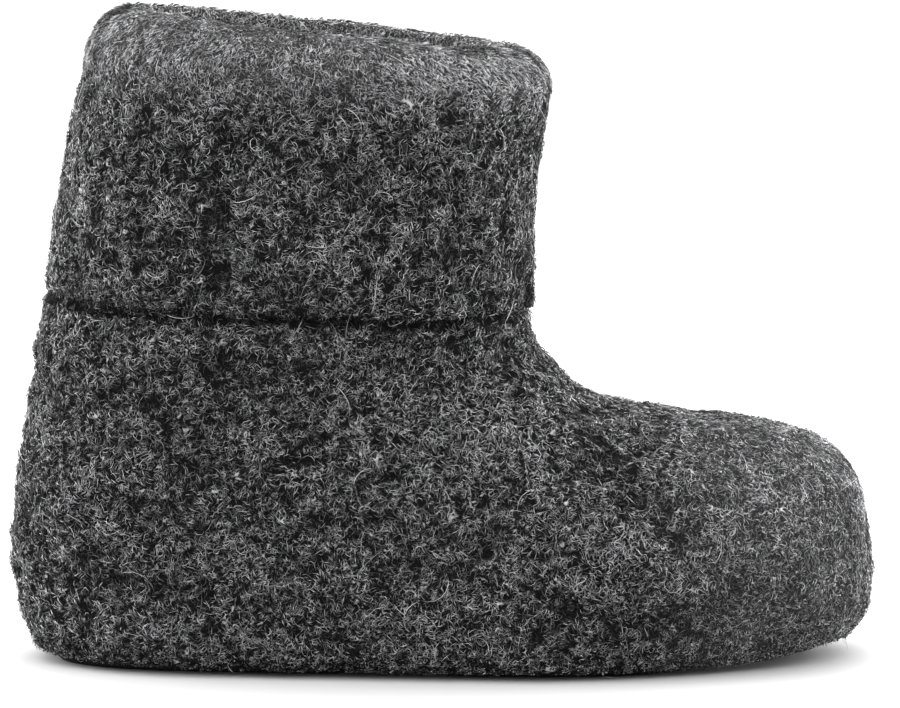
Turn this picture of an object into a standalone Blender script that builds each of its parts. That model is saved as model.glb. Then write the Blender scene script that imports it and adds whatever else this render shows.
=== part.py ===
"""Wool boot slipper for the right foot, with a turned-down cuff.

Four solids: a soft outsole, an insole, the hollow upper and the cuff rolled over its
collar. Metres, +Z up, toe towards +X, the inner side of the foot towards +Y.
"""

from collections import namedtuple

import bmesh
import bpy
import numpy as np

# Driving sizes
LENGTH = 0.288  # heel to toe over the pile
BALL_WIDTH = 0.110  # widest part of the foot over the pile
HEIGHT = 0.218  # floor to the crest of the rolled collar at the back
WALL = 0.009  # pile cloth of foot and shaft, pile included
CUFF_WALL = 0.011  # turned-down layer, pile included
GAP = 0.0003  # between pieces that touch

# Bottom, with places along the foot in shares of LENGTH from the heel
TOE_SPRING = 0.014  # lift of the sole under the toe tip
SPRING_START = 0.70
ARCH_LIFT = 0.0012  # hollow under the waist of the sole
ARCH_FROM, ARCH_TO = 0.34, 0.54
SOLE_THICKNESS = 0.007
SOLE_EDGE = 0.0015  # softened edge of sole and insole
INSOLE_THICKNESS = 0.0045
INSOLE_INSET = 0.002  # insole edge inside the sole edge, before it meets the wall
LIP_HEIGHT = 0.0003  # underside of the pile above the floor at the waist
LIP_TOE_RISE, LIP_TOE_START = 0.0125, 0.50
LIP_HEEL_RISE, LIP_HEEL_START = 0.0015, 0.30
LIP_ROUND = 0.005  # how softly the wall turns under

# Rolled collar
ROLL_OUTER_SHARE = 0.82  # share of the roll's thickness outside its crest
ROLL_RISE_BACK, ROLL_RISE_FRONT = 0.0214, 0.0145  # crest above the cuff's face
ROLL_COVER = 0.0095  # wool above the shaft's top edge
HEM_OUT, HEM_UP = 0.6, 0.2  # place of the hem's edge between shaft and face

# Facets
AROUND = 44
ROWS_TOE, ROWS_HEEL, ROWS_ANKLE = 17, 12, 4  # from the tip, round the heel, up to the hem
ROWS_FOOT = ROWS_TOE + ROWS_HEEL + ROWS_ANKLE
HEEL_FROM, HEEL_TO = 9, 13  # sections between which the back line turns up the heel
ROWS_SHAFT = 8
ROWS_FACE = 10
ROWS_ROLL = 4
SOLE_STATIONS = 30

# Sections of the foot from the toe tip back to the hem. Each lies in a plane through
# the top line and the bottom or back line. x in shares of LENGTH from the heel, z in
# shares of HEIGHT, half width in shares of BALL_WIDTH. "level" is where along the
# section it is widest, the rounds are 2 for an ellipse and more for a fuller corner,
# "swing" moves the section towards the inner side, in shares of BALL_WIDTH.
Section = namedtuple(
    "Section", "top_x top_z low_x low_z half_width level top_round low_round swing"
)
FOOT = (
    Section(0.999, 0.128, 0.995, 0.055, 0.085, 0.50, 2.10, 2.10, 0.055),
    Section(0.996, 0.174, 0.984, 0.015, 0.178, 0.48, 2.15, 2.15, 0.053),
    Section(0.990, 0.227, 0.965, -0.022, 0.248, 0.45, 2.20, 2.30, 0.050),
    Section(0.976, 0.287, 0.934, -0.050, 0.322, 0.43, 2.25, 2.50, 0.045),
    Section(0.938, 0.333, 0.887, -0.065, 0.402, 0.42, 2.25, 2.70, 0.037),
    Section(0.858, 0.363, 0.809, -0.075, 0.473, 0.42, 2.20, 2.90, 0.024),
    Section(0.764, 0.379, 0.710, -0.075, 0.500, 0.42, 2.15, 3.00, 0.010),
    Section(0.691, 0.397, 0.580, -0.075, 0.492, 0.43, 2.10, 3.00, -0.006),
    Section(0.644, 0.431, 0.441, -0.075, 0.470, 0.45, 2.10, 2.95, -0.014),
    Section(0.616, 0.469, 0.290, -0.075, 0.448, 0.47, 2.10, 2.80, -0.012),
    Section(0.604, 0.495, 0.147, -0.072, 0.430, 0.48, 2.15, 2.60, -0.005),
    Section(0.600, 0.510, 0.040, -0.018, 0.422, 0.50, 2.20, 2.40, 0.0),
    Section(0.5986, 0.5174, 0.004, 0.120, 0.424, 0.50, 2.25, 2.25, 0.0),
    Section(0.5983, 0.521, 0.005, 0.252, 0.434, 0.50, 2.30, 2.25, 0.0),
    Section(0.5983, 0.524, 0.020, 0.376, 0.450, 0.50, 2.30, 2.25, 0.0),
    Section(0.5976, 0.5275, 0.031, 0.477, 0.461, 0.50, 2.30, 2.30, 0.0),
    Section(0.594, 0.536, 0.0425, 0.548, 0.446, 0.50, 2.30, 2.30, 0.0),
)

# Outside of the cuff from the hem up to where the roll begins, same columns
CUFF = (
    Section(0.603, 0.553, 0.044, 0.580, 0.479, 0.50, 2.30, 2.30, 0.0),
    Section(0.6055, 0.615, 0.0485, 0.638, 0.491, 0.50, 2.30, 2.30, 0.0),
    Section(0.6055, 0.683, 0.058, 0.702, 0.494, 0.50, 2.30, 2.30, 0.0),
    Section(0.612, 0.766, 0.070, 0.787, 0.492, 0.50, 2.30, 2.30, 0.0),
    Section(0.625, 0.867, 0.089, 0.899, 0.486, 0.50, 2.30, 2.30, 0.0),
)

# Sole pattern from heel to toe: share of LENGTH, half widths in shares of BALL_WIDTH
SolePoint = namedtuple("SolePoint", "at outer inner")
SOLE = (
    SolePoint(0.050, 0.000, 0.000),
    SolePoint(0.068, 0.145, 0.145),
    SolePoint(0.120, 0.241, 0.241),
    SolePoint(0.200, 0.291, 0.288),
    SolePoint(0.310, 0.325, 0.307),
    SolePoint(0.440, 0.357, 0.330),
    SolePoint(0.580, 0.386, 0.368),
    SolePoint(0.710, 0.392, 0.408),
    SolePoint(0.810, 0.366, 0.412),
    SolePoint(0.880, 0.316, 0.384),
    SolePoint(0.930, 0.245, 0.328),
    SolePoint(0.958, 0.150, 0.238),
    SolePoint(0.966, -0.040, 0.040),
)


def smooth_rows(table, at):
    """The table's columns at row positions `at`, on a smooth curve through its rows."""
    rows = np.array(table, float)
    low = np.minimum(at.astype(int), len(rows) - 2)
    t = (at - low)[:, None]
    before, after = np.maximum(low - 1, 0), np.minimum(low + 2, len(rows) - 1)
    a, b, c, d = rows[before], rows[low], rows[low + 1], rows[after]
    bend = 2 * a - 5 * b + 4 * c - d
    twist = 3 * (b - c) + d - a
    return b + 0.5 * t * ((c - a) + t * (bend + t * twist))


def past(x, start, end):
    """How far x has gone from one share of the length towards another, from 0 up."""
    return np.clip((x / LENGTH - start) / (end - start), 0.0, None)


def lip(x):
    """Height of the pile's underside at distance x from the heel: a soft rocker."""
    toe = LIP_TOE_RISE * past(x, LIP_TOE_START, 1.0) ** 2
    heel = LIP_HEEL_RISE * past(x, LIP_HEEL_START, 0.0) ** 2
    return LIP_HEIGHT + toe + heel


def pressed(points):
    """Points with everything below the lip turned under softly to rest near the floor."""
    floor = lip(points[..., 0])
    above = points[..., 2] - floor
    settled = 0.5 * (above + np.sqrt(above**2 + LIP_ROUND**2))
    return np.concatenate([points[..., :2], (floor + settled)[..., None]], -1)


def loops(rows):
    """One closed loop of AROUND points per section row, from the top round by +Y."""
    angle = 2 * np.pi * np.arange(AROUND) / AROUND
    c, s = np.cos(angle)[None], np.sin(angle)[None]
    top_x, top_z, low_x, low_z, half, level, top_n, low_n, swing = rows.T[..., None]
    upper_part = c >= 0
    power = 2.0 / np.where(upper_part, top_n, low_n)
    reach = np.where(upper_part, 1.0 - level, level)
    along = level + reach * np.sign(c) * np.abs(c) ** power
    x = LENGTH * (low_x + along * (top_x - low_x))
    y = BALL_WIDTH * (swing + half * np.sign(s) * np.abs(s) ** power)
    z = HEIGHT * (low_z + along * (top_z - low_z))
    return np.stack([x, y, z], -1)


def taken_in(row, by):
    """A section row with its outline moved inwards by a distance."""
    return row._replace(
        top_x=row.top_x - by / LENGTH,
        low_x=row.low_x + by / LENGTH,
        half_width=row.half_width - by / BALL_WIDTH,
    )


def outer_form():
    """Grid of the outside of foot and shaft, toe first, the shaft inside the cuff last."""
    under_cuff = [taken_in(row, CUFF_WALL + GAP) for row in CUFF[1:]]
    last = under_cuff[-1]
    collar = last._replace(
        top_z=last.top_z + (ROLL_RISE_FRONT - ROLL_COVER) / HEIGHT,
        low_z=last.low_z + (ROLL_RISE_BACK - ROLL_COVER) / HEIGHT,
    )
    table = FOOT + tuple(under_cuff) + (collar,)
    hem = len(FOOT) - 1
    stops = (HEEL_FROM, HEEL_TO, hem, len(table) - 1)
    counts = (ROWS_HEEL, ROWS_ANKLE, ROWS_SHAFT)
    at = [np.linspace(0, HEEL_FROM, ROWS_TOE)]
    for start, end, count in zip(stops, stops[1:], counts):
        at.append(np.linspace(start, end, count + 1)[1:])
    return pressed(loops(smooth_rows(table, np.concatenate(at))))


def grid_normals(grid):
    """Unit normals of a grid of loops, pointing away from the loops' middles."""
    along = np.gradient(grid, axis=0)
    around = np.roll(grid, -1, axis=1) - np.roll(grid, 1, axis=1)
    normal = np.cross(around, along)
    normal /= np.linalg.norm(normal, axis=-1, keepdims=True)
    outward = grid - grid.mean(axis=1, keepdims=True)
    return normal * np.sign((normal * outward).sum(axis=(1, 2)))[:, None, None]


def inner_form(outer, depth):
    """Grid of the hollow: the outside moved in by a depth and let down onto the sole."""
    normal = grid_normals(outer)
    inner = outer - depth * normal
    inner[..., 2] -= WALL * np.clip(-normal[..., 2], 0.0, 1.0)
    front, back = outer[-1, 0], outer[-1, AROUND // 2]
    slope = (front[2] - back[2]) / (front[0] - back[0])
    inner[-1, :, 2] = back[2] + slope * (inner[-1, :, 0] - back[0])
    return inner


def wool(name, colour, roughness):
    """A plain rough wool material."""
    material = bpy.data.materials.new(name)
    material.use_nodes = True
    shader = material.node_tree.nodes["Principled BSDF"]
    shader.inputs["Base Color"].default_value = (*colour, 1.0)
    shader.inputs["Roughness"].default_value = roughness
    return material


def solid(name, points, faces, parent, material=None):
    """A named object from points and faces, its normals made to face outwards."""
    mesh = bpy.data.meshes.new(name)
    mesh.from_pydata([tuple(p) for p in points], [], faces)
    work = bmesh.new()
    work.from_mesh(mesh)
    bmesh.ops.recalc_face_normals(work, faces=work.faces)
    work.to_mesh(mesh)
    work.free()
    mesh.shade_smooth()
    made = bpy.data.objects.new(name, mesh)
    made.parent = parent
    bpy.context.collection.objects.link(made)
    if material:
        mesh.materials.append(material)
    else:
        made.hide_render = True
        made.display_type = "WIRE"
    return made


def strip_faces(rows, around, closed_rows=False):
    """Triangles between neighbouring loops of a grid, joining last to first if asked.

    Each cell is split the same way, so that two grids a gap apart stay apart."""
    faces = []
    for i in range(rows if closed_rows else rows - 1):
        here, there = i * around, ((i + 1) % rows) * around
        for j in range(around):
            k = (j + 1) % around
            faces.append((here + j, here + k, there + k))
            faces.append((here + j, there + k, there + j))
    return faces


def tube(name, grid, tip, parent, material=None):
    """A closed solid from a grid of loops: a point at the toe and a flat collar end."""
    rows, around = grid.shape[:2]
    points = np.concatenate([grid.reshape(-1, 3), [tip]])
    faces = strip_faces(rows, around)
    tip_index = rows * around
    faces += [((j + 1) % around, j, tip_index) for j in range(around)]
    faces.append(tuple((rows - 1) * around + j for j in range(around)))
    return solid(name, points, faces, parent, material)


def sole_lift(x):
    """Height of the underside of the sole: flat heel and forefoot, arch and toe spring."""
    arch = np.sin(np.pi * np.clip(past(x, ARCH_FROM, ARCH_TO), 0.0, 1.0)) ** 2
    return ARCH_LIFT * arch + TOE_SPRING * past(x, SPRING_START, 1.0) ** 2


def plate(name, inset, bottom, top, parent, material=None):
    """A sole-shaped plate: the pattern taken in by `inset`, between two heights above
    the sole's underside, with softened edges."""
    pattern = smooth_rows(SOLE, np.linspace(0, len(SOLE) - 1, SOLE_STATIONS))
    at, outer, inner = pattern.T * np.array([[LENGTH], [BALL_WIDTH], [BALL_WIDTH]])
    middle, half_length = 0.5 * (at[0] + at[-1]), 0.5 * (at[-1] - at[0])
    x = middle + (at - middle) * (1.0 - inset / half_length)
    half = 0.5 * (inner + outer) * (1.0 - inset / (0.5 * (inner + outer).max()))
    side = np.array([1, 1, 1, -1, -1, -1, -1, 1])
    back_from_edge = SOLE_EDGE * np.array([0, 0, 1, 1, 0, 0, 1, 1])
    low, high = bottom + SOLE_EDGE, top - SOLE_EDGE
    height = np.array([low, high, top, top, high, low, bottom, bottom])
    y = 0.5 * (inner - outer)[:, None] + side * (half[:, None] - back_from_edge)
    z = sole_lift(x)[:, None] + height
    grid = np.stack([np.broadcast_to(x[:, None], y.shape), y, z], -1)[1:-1]
    rows, around = grid.shape[:2]
    faces = strip_faces(rows, around)
    faces.append(tuple(range(around)))
    faces.append(tuple((rows - 1) * around + j for j in range(around)))
    return solid(name, grid.reshape(-1, 3), faces, parent, material)


def shape_by(target, cutter, operation):
    """Take one closed solid out of another, or keep only what lies inside it."""
    change = target.modifiers.new(cutter.name, "BOOLEAN")
    change.operation = operation
    change.solver = "EXACT"
    change.object = cutter


def cuff_grid(outer, inner):
    """Grid of the cuff's skin: up inside along the shaft, over the roll, down outside."""
    back = (outer + GAP * grid_normals(outer))[ROWS_FOOT - 1 :]
    back[-1] += [0.0, 0.0, GAP]
    face = loops(smooth_rows(CUFF, np.linspace(0, len(CUFF) - 1, ROWS_FACE)))
    edge_out, edge_in = face[-1], inner[-1] + [0.0, 0.0, GAP]
    crest = edge_out + ROLL_OUTER_SHARE * (edge_in - edge_out)
    forward = np.ptp(edge_out[:, 0])
    front = (edge_out[:, 0] - edge_out[:, 0].min()) / forward
    rise = ROLL_RISE_BACK + (ROLL_RISE_FRONT - ROLL_RISE_BACK) * front
    crest[:, 2] = edge_out[:, 2] + rise
    turn = np.linspace(0.0, np.pi / 2, ROWS_ROLL + 1)[:, None, None]
    level, upright = np.array([1.0, 1.0, 0.0]), np.array([0.0, 0.0, 1.0])
    up = edge_in + (crest - edge_in) * (level * (1 - np.cos(turn)) + upright * np.sin(turn))
    down = crest + (edge_out - crest) * (level * np.sin(turn) + upright * (1 - np.cos(turn)))
    hem = back[0] + (face[0] - back[0]) * (HEM_OUT * level + HEM_UP * upright)
    return np.concatenate([back, up, down[1:], face[-2::-1], hem[None]])


def build():
    """Make the four pieces under one holder that centres the shoe on its footprint."""
    for item in list(bpy.data.objects):
        bpy.data.objects.remove(item)
    outer = outer_form()
    inner = inner_form(outer, WALL)
    cuff_skin = cuff_grid(outer, inner)
    everything = np.concatenate([outer.reshape(-1, 3), cuff_skin.reshape(-1, 3)])
    middle = 0.5 * (everything.min(axis=0) + everything.max(axis=0))
    holder = bpy.data.objects.new("slipper", None)
    holder.location = (-middle[0], -middle[1], 0.0)
    bpy.context.collection.objects.link(holder)

    pile = wool("charcoal wool pile", (0.070, 0.070, 0.072), 0.95)
    turned = wool("turned charcoal wool pile", (0.075, 0.075, 0.077), 0.95)
    felt = wool("dark wool felt", (0.030, 0.030, 0.031), 0.97)
    footbed = wool("grey wool footbed", (0.060, 0.060, 0.062), 0.96)

    tip = np.array([LENGTH, outer[0, :, 1].mean(), outer[0, :, 2].mean()])
    inner_tip = tip - [WALL, 0.0, 0.0]
    above = inner[-1:] + [0.0, 0.0, ROLL_RISE_BACK]
    hollow = tube("hollow", np.concatenate([inner, above]), inner_tip, holder)
    sole_room = plate("sole room", -GAP, -SOLE_THICKNESS, SOLE_THICKNESS + GAP, holder)
    upper = tube("upper", outer, tip, holder, pile)
    shape_by(upper, hollow, "DIFFERENCE")
    shape_by(upper, sole_room, "DIFFERENCE")

    plate("outsole", 0.0, 0.0, SOLE_THICKNESS, holder, felt)
    base = SOLE_THICKNESS + GAP
    insole = plate("insole", INSOLE_INSET, base, base + INSOLE_THICKNESS, holder, footbed)
    within = inner_form(outer, WALL + GAP)
    insole_room = tube("insole room", within, inner_tip - [GAP, 0.0, 0.0], holder)
    shape_by(insole, insole_room, "INTERSECT")

    rows, around = cuff_skin.shape[:2]
    faces = strip_faces(rows, around, closed_rows=True)
    solid("cuff", cuff_skin.reshape(-1, 3), faces, holder, turned)


build()
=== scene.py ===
# %% [markdown]
# # A wool boot slipper
#
# The slipper is sewn from thick charcoal wool pile: foot and short shaft in one piece, a wide
# cuff rolled over the collar and turned down, a wool footbed inside and a soft felt sole. The
# solids are fixed already, in metres, with the toe towards +X. This lesson loads them and
# dresses each one: first a finely divided pile ground, worked out from the solids' sections
# with a slightly rounder toe, and then many thousand curled wool fibres that stand on it.

# %% Load the fixed frame
from collections import namedtuple

import bpy
import numpy as np
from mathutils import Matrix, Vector


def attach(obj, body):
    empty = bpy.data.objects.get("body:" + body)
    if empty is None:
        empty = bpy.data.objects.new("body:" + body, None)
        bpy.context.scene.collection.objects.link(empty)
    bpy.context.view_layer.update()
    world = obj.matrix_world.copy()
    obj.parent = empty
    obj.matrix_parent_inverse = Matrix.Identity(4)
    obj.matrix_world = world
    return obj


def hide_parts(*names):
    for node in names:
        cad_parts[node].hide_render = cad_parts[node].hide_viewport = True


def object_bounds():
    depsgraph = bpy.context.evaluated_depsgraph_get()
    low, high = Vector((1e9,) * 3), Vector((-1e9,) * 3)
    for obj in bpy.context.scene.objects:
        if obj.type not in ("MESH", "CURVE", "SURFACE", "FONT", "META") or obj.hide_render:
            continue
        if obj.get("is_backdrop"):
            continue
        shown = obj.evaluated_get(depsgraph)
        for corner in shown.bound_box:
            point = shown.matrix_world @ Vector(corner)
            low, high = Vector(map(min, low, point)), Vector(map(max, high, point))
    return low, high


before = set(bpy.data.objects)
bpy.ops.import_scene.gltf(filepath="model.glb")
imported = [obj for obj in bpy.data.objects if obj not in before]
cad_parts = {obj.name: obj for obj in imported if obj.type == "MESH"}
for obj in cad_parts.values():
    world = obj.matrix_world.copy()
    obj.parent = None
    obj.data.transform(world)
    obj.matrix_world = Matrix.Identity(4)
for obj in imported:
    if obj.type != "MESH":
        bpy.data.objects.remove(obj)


def mm(metres):
    """Metres in millimetres, rounded to a tenth."""
    return np.round(1000 * metres, 1)


cad_low, cad_high = (np.array(corner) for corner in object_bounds())
print("box over the pile in mm:", mm(cad_high - cad_low))

# %% [markdown]
# ## The last, as sections
#
# A slipper is shaped on a last. One could sculpt it, but a sewn shoe is easier to describe as
# a maker does, by sections: each one joins a point on the top line to a point on the bottom or
# back line, and has a width. Near the toe the sections stand upright, round the heel they fan
# out, and in the shaft they lie flat. x counts in shares of the length from the heel, z in
# shares of the height, widths in shares of the ball width.

# %% Sizes and sections
LENGTH, BALL_WIDTH, HEIGHT = 0.288, 0.110, 0.218
WALL, CUFF_WALL, GAP = 0.009, 0.011, 0.0003

Section = namedtuple(
    "Section", "top_x top_z low_x low_z half_width level top_round low_round swing"
)
FOOT = (
    Section(0.999, 0.128, 0.998, 0.074, 0.085, 0.50, 2.10, 2.10, 0.055),
    Section(0.995, 0.174, 0.989, 0.048, 0.178, 0.48, 2.15, 2.15, 0.053),
    Section(0.989, 0.227, 0.968, 0.012, 0.248, 0.45, 2.20, 2.30, 0.050),
    Section(0.976, 0.287, 0.934, -0.044, 0.322, 0.43, 2.25, 2.50, 0.045),
    Section(0.938, 0.333, 0.887, -0.065, 0.402, 0.42, 2.25, 2.70, 0.037),
    Section(0.858, 0.363, 0.809, -0.075, 0.473, 0.42, 2.20, 2.90, 0.024),
    Section(0.764, 0.379, 0.710, -0.075, 0.500, 0.42, 2.15, 3.00, 0.010),
    Section(0.691, 0.397, 0.580, -0.075, 0.492, 0.43, 2.10, 3.00, -0.006),
    Section(0.644, 0.431, 0.441, -0.075, 0.470, 0.45, 2.10, 2.95, -0.014),
    Section(0.616, 0.469, 0.290, -0.075, 0.448, 0.47, 2.10, 2.80, -0.012),
    Section(0.604, 0.495, 0.147, -0.072, 0.430, 0.48, 2.15, 2.60, -0.005),
    Section(0.600, 0.510, 0.040, -0.018, 0.422, 0.50, 2.20, 2.40, 0.0),
    Section(0.5986, 0.5174, 0.004, 0.120, 0.424, 0.50, 2.25, 2.25, 0.0),
    Section(0.5983, 0.521, 0.005, 0.252, 0.434, 0.50, 2.30, 2.25, 0.0),
    Section(0.5983, 0.524, 0.020, 0.376, 0.450, 0.50, 2.30, 2.25, 0.0),
    Section(0.5976, 0.5275, 0.031, 0.477, 0.461, 0.50, 2.30, 2.30, 0.0),
    Section(0.594, 0.536, 0.0425, 0.548, 0.446, 0.50, 2.30, 2.30, 0.0),
)
CUFF = (
    Section(0.603, 0.553, 0.044, 0.580, 0.479, 0.50, 2.30, 2.30, 0.0),
    Section(0.6055, 0.615, 0.0485, 0.638, 0.491, 0.50, 2.30, 2.30, 0.0),
    Section(0.6055, 0.683, 0.058, 0.702, 0.494, 0.50, 2.30, 2.30, 0.0),
    Section(0.612, 0.766, 0.070, 0.787, 0.492, 0.50, 2.30, 2.30, 0.0),
    Section(0.625, 0.867, 0.089, 0.899, 0.486, 0.50, 2.30, 2.30, 0.0),
)
print("sections of the foot:", len(FOOT), "and of the cuff:", len(CUFF))

# %% Smooth curves through the sections
MEASURE_STEPS, MEASURE_AROUND = 60, 24


def smooth_rows(table, at):
    """The columns at row positions `at`: a cubic through four rows, with the slope at each
    row half the step between its two neighbours."""
    rows = np.array(table, float)
    low = np.minimum(at.astype(int), len(rows) - 2)
    t = (at - low)[:, None]
    before, after = np.maximum(low - 1, 0), np.minimum(low + 2, len(rows) - 1)
    a, b, c, d = rows[before], rows[low], rows[low + 1], rows[after]
    return b + 0.5 * t * ((c - a) + t * (2 * a - 5 * b + 4 * c - d + t * (3 * (b - c) + d - a)))


def loops(rows, around):
    """One closed loop per section row, from the top line round by +Y.

    Each is the superellipse |u|^n + |v|^n = 1 in polar form: at angle a its radius is
    (|cos a|^n + |sin a|^n)^(-1/n), with one n above the widest level and one below."""
    angle = 2 * np.pi * np.arange(around) / around
    c, s = np.cos(angle)[None], np.sin(angle)[None]
    top_x, top_z, low_x, low_z, half, level, top_n, low_n, swing = rows.T[..., None]
    n = np.where(c >= 0, top_n, low_n)
    radius = (np.abs(c) ** n + np.abs(s) ** n) ** (-1 / n)
    along = level + np.where(c >= 0, 1 - level, level) * radius * c
    x = LENGTH * (low_x + along * (top_x - low_x))
    y = BALL_WIDTH * (swing + half * radius * s)
    z = HEIGHT * (low_z + along * (top_z - low_z))
    return np.stack([x, y, z], -1)


def even_rows(table, count):
    """Row positions whose widest step from loop to loop is the same all the way."""
    fine = np.linspace(0.0, len(table) - 1, MEASURE_STEPS * len(table))
    measured = loops(smooth_rows(table, fine), MEASURE_AROUND)
    step = np.linalg.norm(np.diff(measured, axis=0), axis=-1)
    run = np.concatenate([[0.0], np.cumsum(step.max(axis=1))])
    return np.interp(np.linspace(0.0, run[-1], count), run, fine)


def unit(vectors):
    """Vectors divided by their length."""
    return vectors / np.linalg.norm(vectors, axis=-1, keepdims=True)


def normals_of(grid, closed_rows=False):
    """Unit normals of a grid of loops: the step round the loop crossed with the step from
    loop to loop."""
    around = np.roll(grid, -1, axis=1) - np.roll(grid, 1, axis=1)
    if closed_rows:
        along = np.roll(grid, -1, axis=0) - np.roll(grid, 1, axis=0)
    else:
        along = np.gradient(grid, axis=0)
    return unit(np.cross(around, along))


# %% [markdown]
# ## The underside
#
# The pile turns under softly all round and rests on the floor, lifted a little at heel and toe.
# A sculptor would flatten it with a brush. Here each loop is pressed: what would lie under the
# lip is bent up to it along a hyperbola, so that no hard edge shows. Under the toe the slipper
# also rounds in, so it is narrower at the floor than above, and the sole is narrowed with it.

# %% Lip and sole
LIP_HEIGHT, LIP_ROUND = 0.0003, 0.005
LIP_TOE_RISE, LIP_TOE_START = 0.0036, 0.86
LIP_HEEL_RISE, LIP_HEEL_START = 0.0015, 0.30
SOLE_THICKNESS, TOE_SPRING, SPRING_START = 0.007, 0.014, 0.70
ARCH_LIFT, ARCH_FROM, ARCH_TO = 0.0012, 0.34, 0.54
TOE_TUCK, TUCK_HEIGHT, TUCK_FROM, TUCK_TO = 0.28, 0.032, 0.60, 0.96


def past(x, start, end):
    """How far x has gone from one share of the length towards another, from 0 up."""
    return np.clip((x / LENGTH - start) / (end - start), 0.0, None)


def ease(value, start, end):
    """Smooth step 3t^2 - 2t^3 from 0 at start to 1 at end."""
    t = np.clip((value - start) / (end - start), 0.0, 1.0)
    return t * t * (3.0 - 2.0 * t)


def pressed(points):
    """Points below the lip bent up to it: height h above the lip becomes
    (h + sqrt(h^2 + r^2)) / 2."""
    x = points[..., 0]
    toe = LIP_TOE_RISE * past(x, LIP_TOE_START, 1.0) ** 2
    heel = LIP_HEEL_RISE * past(x, LIP_HEEL_START, 0.0) ** 2
    lip = LIP_HEIGHT + toe + heel
    above = points[..., 2] - lip
    settled = 0.5 * (above + np.sqrt(above**2 + LIP_ROUND**2))
    return np.concatenate([points[..., :2], (lip + settled)[..., None]], -1)


def toe_tuck(x, z):
    """How far the slipper rounds in under the toe: a share of its width that grows towards the
    toe and towards the floor."""
    near_floor = 1.0 - ease(z, 0.0, TUCK_HEIGHT)
    return TOE_TUCK * near_floor * ease(x / LENGTH, TUCK_FROM, TUCK_TO)


def tucked_under(points):
    """Points of a grid moved towards their loop's middle line by that share."""
    x, y, z = np.moveaxis(points, -1, 0)
    middle = y.mean(axis=1, keepdims=True)
    return np.stack([x, y + toe_tuck(x, z) * (middle - y), z], -1)


def sole_lift(x):
    """Height of the sole's underside: flat heel and forefoot, a low arch and toe spring."""
    arch = np.sin(np.pi * np.clip(past(x, ARCH_FROM, ARCH_TO), 0.0, 1.0)) ** 2
    return ARCH_LIFT * arch + TOE_SPRING * past(x, SPRING_START, 1.0) ** 2


SolePoint = namedtuple("SolePoint", "at outer inner")
SOLE = (
    SolePoint(0.050, 0.000, 0.000),
    SolePoint(0.068, 0.145, 0.145),
    SolePoint(0.120, 0.241, 0.241),
    SolePoint(0.200, 0.291, 0.288),
    SolePoint(0.310, 0.325, 0.307),
    SolePoint(0.440, 0.357, 0.330),
    SolePoint(0.580, 0.386, 0.368),
    SolePoint(0.710, 0.392, 0.408),
    SolePoint(0.810, 0.366, 0.412),
    SolePoint(0.880, 0.316, 0.384),
    SolePoint(0.930, 0.245, 0.328),
    SolePoint(0.958, 0.150, 0.238),
    SolePoint(0.966, -0.040, 0.040),
)
print("stations of the sole pattern:", len(SOLE))

# %% [markdown]
# ## Outside and inside of the upper
#
# The upper is one hollow wall. Its outside runs from the toe over the foot, round the heel and
# up the shaft, where the cuff hides it. Its inside is the same surface moved in by the wall.
# Solidify could make the wall, but then outside and lining could not differ, so both grids are
# worked out and joined at the collar.

# %% Smooth outside of foot and shaft
AROUND = 180
ROWS_FOOT, ROWS_SHAFT = 196, 8
ROLL_RISE_BACK, ROLL_RISE_FRONT, ROLL_COVER = 0.0214, 0.0145, 0.0095


def taken_in(row, by):
    """A section row with its outline moved inwards by a distance."""
    return row._replace(
        top_x=row.top_x - by / LENGTH,
        low_x=row.low_x + by / LENGTH,
        half_width=row.half_width - by / BALL_WIDTH,
    )


under_cuff = tuple(taken_in(row, CUFF_WALL + GAP) for row in CUFF[1:])
collar = under_cuff[-1]._replace(
    top_z=under_cuff[-1].top_z + (ROLL_RISE_FRONT - ROLL_COVER) / HEIGHT,
    low_z=under_cuff[-1].low_z + (ROLL_RISE_BACK - ROLL_COVER) / HEIGHT,
)
SHAFT = FOOT[-1:] + under_cuff + (collar,)
foot_rows = smooth_rows(FOOT, even_rows(FOOT, ROWS_FOOT))
shaft_rows = smooth_rows(SHAFT, np.linspace(0, len(SHAFT) - 1, ROWS_SHAFT + 1)[1:])
outside = tucked_under(pressed(loops(np.concatenate([foot_rows, shaft_rows]), AROUND)))
middle_y = 0.5 * (outside[..., 1].min() + outside[..., 1].max())
to_frame = np.array([cad_high[0] - LENGTH, 0.5 * (cad_low[1] + cad_high[1]) - middle_y, 0.0])
outside_normals = normals_of(outside)
print("outside grid:", outside.shape[:2], "moved into the frame by", np.round(to_frame, 4))
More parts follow.
